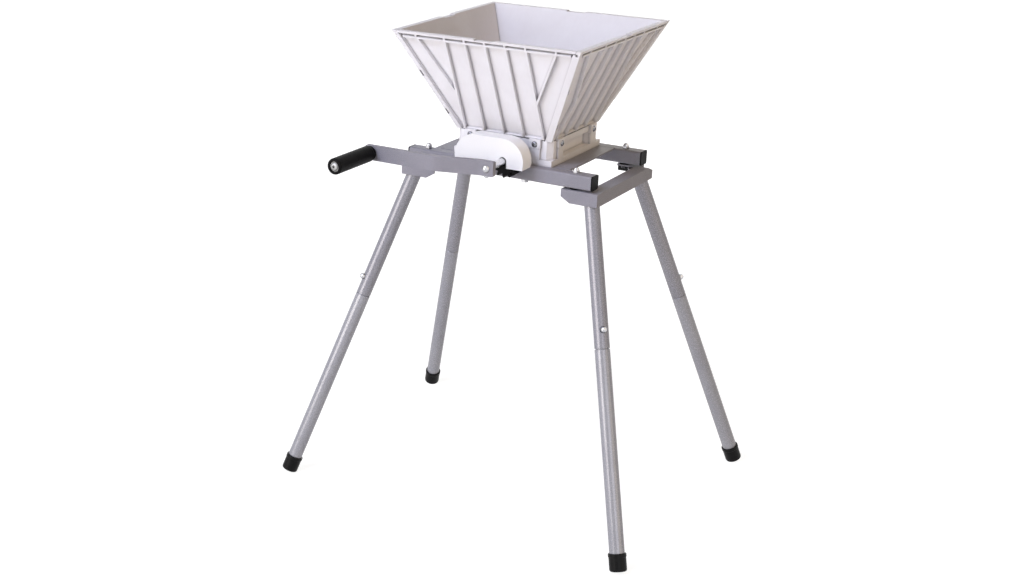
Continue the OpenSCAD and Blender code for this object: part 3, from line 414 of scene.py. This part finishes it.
def add_piece(name, parts, body, look):
    """Builds one piece from (points, faces) parts and sets what it rides on and its finish."""
    points = []
    faces = []
    for part_points, part_faces in parts:
        start = len(points)
        points += part_points
        faces += [[start + i for i in face] for face in part_faces]
    mesh = bpy.data.meshes.new(name)
    mesh.from_pydata(points, [], faces)
    mesh.update()
    for face in mesh.polygons:
        face.use_smooth = True
    mesh.materials.append(LOOKS[look])
    obj = bpy.data.objects.new(name, mesh)
    scene.collection.objects.link(obj)
    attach(obj, body)


def tube_faces(rings, sides):
    """Faces of a tube of rings of points, closed at both ends."""
    last = rings - 1
    faces = [list(range(sides))[::-1], [last * sides + i for i in range(sides)]]
    for k in range(last):
        for i in range(sides):
            j = (i + 1) % sides
            faces.append([k * sides + i, k * sides + j, (k + 1) * sides + j, (k + 1) * sides + i])
    return faces


def bead(path, radius, ripple):
    """Rippled weld bead along a row of points, thinner at both ends."""
    points = []
    last = len(path) - 1
    for k, place in enumerate(path):
        ahead = (path[min(k + 1, last)] - path[max(k - 1, 0)]).normalized()
        across = ahead.orthogonal().normalized()
        if abs(ahead.z) < STEEP:
            across = ahead.cross(Vector((0, 0, 1))).normalized()
        other = ahead.cross(across)
        inwards = min(k, last - k) / BEAD_TIP_STEPS
        taper = min(1.0, BEAD_TIP + (1 - BEAD_TIP) * inwards)
        size = taper * (radius + ripple * math.sin(RIPPLE_TURN * k))
        for i in range(BEAD_SIDES):
            turn = 2 * math.pi * i / BEAD_SIDES
            points.append(place + size * (math.cos(turn) * across + math.sin(turn) * other))
    return points, tube_faces(len(path), BEAD_SIDES)


def leg_axes(side):
    """The leg's foot point and its directions: outwards, up the leg and across."""
    run = (LEG_FOOT[0] - LEG_TOP[0], LEG_FOOT[1] - LEG_TOP[1])
    turn = math.atan2(side[1] * run[1], side[0] * run[0])
    tilt = math.atan2(math.hypot(*run), LEG_TOP[2])
    level = Vector((math.cos(turn), math.sin(turn), 0))
    rise = Vector((0, 0, 1))
    out = level * math.cos(tilt) + rise * math.sin(tilt)
    up = rise * math.cos(tilt) - level * math.sin(tilt)
    return Vector((side[0] * LEG_FOOT[0], side[1] * LEG_FOOT[1], 0)), out, up, up.cross(out)


def leg_weld(side):
    """Bead round the top of a leg, under the bracket's sheet."""
    foot, _, up, _ = leg_axes(side)
    height = BRACKET_UNDERSIDE - LEG_WELD_DROP
    middle = foot + up * (height / up.z)
    diagonal = math.atan2(side[1], side[0])
    path = []
    for k in range(LEG_WELD_STEPS + 1):
        turn = diagonal + LEG_WELD_HALF_TURN * (2 * k / LEG_WELD_STEPS - 1)
        level = Vector((math.cos(turn), math.sin(turn), 0))
        reach = (LEG_RADIUS + LEG_WELD_PROUD) / math.sqrt(1 - level.dot(up) ** 2)
        path.append(middle + level * reach)
    return bead(path, LEG_WELD_RADIUS, LEG_WELD_RIPPLE)


def cross_weld(side):
    """Bead in the corner between a cross plate and a rail."""
    low, high = CROSS_SEAM_HEIGHTS
    path = []
    for k in range(CROSS_WELD_STEPS + 1):
        height = low + (high - low) * k / CROSS_WELD_STEPS
        path.append(Vector((side[0] * CROSS_SEAM[0], side[1] * CROSS_SEAM[1], height)))
    return bead(path, CROSS_WELD_RADIUS, CROSS_WELD_RIPPLE)


def button_shade_ring(side):
    """Dark ring round a snap button's hole, following the tube: painted shadow for the gap round
    the button.
    """
    foot, out, up, across = leg_axes(side)
    middle = foot + up * BUTTON_UP_LEG
    points = []
    for past, proud in SHADE_RING_PROFILE:
        for i in range(SHADE_RING_STEPS):
            turn = 2 * math.pi * i / SHADE_RING_STEPS
            wide = (BUTTON_RADIUS + past) * math.cos(turn)
            high = (BUTTON_RADIUS + past) * math.sin(turn)
            depth = math.sqrt(LEG_RADIUS**2 - wide**2) + proud
            points.append(middle + out * depth + across * wide + up * high)
    faces = []
    for k in range(len(SHADE_RING_PROFILE)):
        here = k * SHADE_RING_STEPS
        there = (k + 1) % len(SHADE_RING_PROFILE) * SHADE_RING_STEPS
        for i in range(SHADE_RING_STEPS):
            j = (i + 1) % SHADE_RING_STEPS
            faces.append([here + i, there + i, there + j, here + j])
    return points, faces


def grip_seam(turn):
    """Fine raised mould line along the grip, with run-out ends."""
    x, z = GRIP_AXIS
    start, stop = GRIP_ENDS
    points = []
    for k in range(MOULD_LINE_STEPS + 1):
        share = k / MOULD_LINE_STEPS
        y = start + (stop - start) * share
        slope = min(1.0, MOULD_LINE_SLOPE * share, MOULD_LINE_SLOPE * (1 - share))
        section = (
            (-MOULD_LINE_HALF, -MOULD_LINE_SUNK),
            (0.0, MOULD_LINE_RISE * slope),
            (MOULD_LINE_HALF, -MOULD_LINE_SUNK),
            (0.0, -MOULD_LINE_ROOT),
        )
        for offset, radius in section:
            angle = turn + offset / GRIP_RADIUS
            r = GRIP_RADIUS + radius
            points.append(Vector((x + r * math.cos(angle), y, z + r * math.sin(angle))))
    return points, tube_faces(MOULD_LINE_STEPS + 1, len(section))


def flange_shade_sheet(hand):
    """Rounded black sheet on the inside of a bracket's rear flange: painted shadow where the flange
    lies in shade under the rail.
    """
    corners = ((1, 1, 0), (-1, 1, 90), (-1, -1, 180), (1, -1, 270))
    points = []
    for inset, y in PAD_RINGS:
        for sx, sz, start in corners:
            for k in range(PAD_STEPS + 1):
                turn = math.radians(start + 90 * k / PAD_STEPS)
                reach = PAD_CORNER - inset
                x = PAD_MIDDLE[0] + sx * (PAD_HALF[0] - PAD_CORNER) + reach * math.cos(turn)
                z = PAD_MIDDLE[1] + sz * (PAD_HALF[1] - PAD_CORNER) + reach * math.sin(turn)
                points.append(Vector((hand * x, y, z)))
    faces = tube_faces(len(PAD_RINGS), len(points) // len(PAD_RINGS))
    if hand < 0:
        faces = [face[::-1] for face in faces]
    return points, faces


for name, hand in (("left", -1), ("right", 1)):
    # Black sheets inside the rear flanges, a painted shadow
    add_piece("flange_shade_sheet_" + name, [flange_shade_sheet(hand)], "stand", "black_rubber")
for name, side in SIDES.items():
    add_piece("leg_weld_" + name, [leg_weld(side)], "stand", "frame_paint")
    # Dark steel ring round each snap button, a painted shadow
    add_piece("button_shade_ring_" + name, [button_shade_ring(side)], "stand", "dark_steel")
for name, ends in (("left", ("fl", "rl")), ("right", ("fr", "rr"))):
    welds = [cross_weld(SIDES[end]) for end in ends]
    add_piece("cross_welds_" + name, welds, "stand", "frame_paint")
seams = [grip_seam(0.0), grip_seam(math.pi)]
add_piece("grip_seams", seams, "grip", "black_plastic")


# Floor, light and camera

FLOOR_HALF = 12.0
FLOOR_COLOUR = (0.86, 0.86, 0.87, 1.0)
FLOOR_ROUGHNESS = 0.9
FLOOR_SHARE = 0.6  # share of glow where the floor is seen
FLOOR_REACH = (0.5, 2.5)  # distances between which the glow grows
FLOOR_GLOW = (1.5, 1.8)  # its strength at those distances
WHITE = (1, 1, 1, 1)
AMBIENT = 0.02
AMBIENT_COLOUR = (1.0, 0.94, 0.86, 1.0)
LAMP_AIM = (0, 0, 0.5)
# Name, place, width and height, power in watts and colour of each lamp
LAMPS = (
    ("front_left", (-1.20, -2.50, 0.95), (1.7, 1.5), 35, (1.04, 0.985, 0.91)),
    ("front_right", (1.90, -2.00, 0.90), (1.2, 1.2), 8, (0.98, 0.96, 1.0)),
    ("front_high", (-0.80, -2.10, 2.45), (1.6, 1.2), 45, (0.90, 0.95, 1.20)),
    ("right_high", (1.80, 0.10, 2.00), (1.0, 1.0), 9, (1.04, 0.76, 0.42)),
    ("right", (2.70, -0.30, 0.40), (1.6, 1.4), 7, (1.04, 0.86, 0.62)),
    ("behind", (-0.80, 2.60, 0.45), (1.8, 1.6), 26, (1.0, 0.98, 0.95)),
)
CAMERA_PLACE = (1.0554, -2.0703, 1.1261)
CAMERA_TURN = math.radians(34.69)
CAMERA_RISE = math.radians(19.70)
CAMERA_SENSOR = 36.0  # millimetres, as is the lens
CAMERA_LENS = 55.35
CAMERA_SHIFT = (0.1864, 0.0023)


def seen_rays(tree, kinds):
    """One for the kinds of ray that show the background, zero for the rest."""
    path = tree.nodes.new("ShaderNodeLightPath")
    total = path.outputs[kinds[0]]
    for kind in kinds[1:]:
        either = tree.nodes.new("ShaderNodeMath")
        either.operation = "MAXIMUM"
        tree.links.new(total, either.inputs[0])
        tree.links.new(path.outputs[kind], either.inputs[1])
        total = either.outputs[0]
    return total


def studio():
    """Pale floor that keeps a faint shadow, and a world that is white where it is seen."""
    mesh = bpy.data.meshes.new("floor")
    corners = [(x * FLOOR_HALF, y * FLOOR_HALF, 0) for x, y in ((-1, -1), (1, -1), (1, 1), (-1, 1))]
    mesh.from_pydata(corners, [], [(0, 1, 2, 3)])
    floor = bpy.data.objects.new("floor", mesh)
    scene.collection.objects.link(floor)
    sh = Shader("floor")
    sh.set(Base_Color=FLOOR_COLOUR, Roughness=FLOOR_ROUGHNESS)
    away = sh.add("ShaderNodeVectorMath", {"operation": "LENGTH"}, {0: sh.place})
    glow = sh.add("ShaderNodeEmission", inputs={"Color": WHITE})
    sh.feed(glow.inputs["Strength"], sh.span(away.outputs["Value"], *FLOOR_REACH, *FLOOR_GLOW))
    pale = sh.add("ShaderNodeMixShader")
    seen = seen_rays(sh.tree, ("Is Camera Ray", "Is Glossy Ray"))
    sh.feed(pale.inputs[0], sh.maths("MULTIPLY", seen, FLOOR_SHARE))
    sh.feed(pale.inputs[1], sh.bsdf.outputs["BSDF"])
    sh.feed(pale.inputs[2], glow.outputs["Emission"])
    sh.feed(sh.tree.nodes["Material Output"].inputs["Surface"], pale.outputs["Shader"])
    mesh.materials.append(sh.material)

    world = bpy.data.worlds.new("studio")
    scene.world = world
    world.use_nodes = True
    tree = world.node_tree
    dim = tree.nodes["Background"]
    dim.inputs["Color"].default_value = AMBIENT_COLOUR
    dim.inputs["Strength"].default_value = AMBIENT
    white = tree.nodes.new("ShaderNodeBackground")
    white.inputs["Color"].default_value = WHITE
    white.inputs["Strength"].default_value = 1.0
    mixed = tree.nodes.new("ShaderNodeMixShader")
    seen = seen_rays(tree, ("Is Camera Ray", "Is Glossy Ray", "Is Transmission Ray"))
    tree.links.new(seen, mixed.inputs[0])
    tree.links.new(dim.outputs[0], mixed.inputs[1])
    tree.links.new(white.outputs[0], mixed.inputs[2])
    tree.links.new(mixed.outputs[0], tree.nodes["World Output"].inputs["Surface"])


def lamp(name, place, size, power, colour):
    """Soft rectangular lamp turned towards the mill."""
    data = bpy.data.lights.new(name, "AREA")
    data.shape = "RECTANGLE"
    data.size, data.size_y = size
    data.energy = power
    data.color = colour
    obj = bpy.data.objects.new(name, data)
    obj.location = place
    obj.rotation_mode = "QUATERNION"
    obj.rotation_quaternion = (Vector(LAMP_AIM) - Vector(place)).to_track_quat("-Z", "Y")
    scene.collection.objects.link(obj)


studio()
for name, place, size, power, colour in LAMPS:
    lamp(name, place, size, power, colour)

camera = bpy.data.cameras.new("camera")
camera.sensor_width = CAMERA_SENSOR
camera.lens = CAMERA_LENS
camera.shift_x, camera.shift_y = CAMERA_SHIFT
view = bpy.data.objects.new("camera", camera)
view.location = CAMERA_PLACE
back = Vector(
    (
        math.sin(CAMERA_TURN) * math.cos(CAMERA_RISE),
        -math.cos(CAMERA_TURN) * math.cos(CAMERA_RISE),
        math.sin(CAMERA_RISE),
    )
)
view.rotation_mode = "QUATERNION"
view.rotation_quaternion = (-back).to_track_quat("-Z", "Y")
scene.collection.objects.link(view)
scene.camera = view
scene.view_settings.view_transform = "Standard"
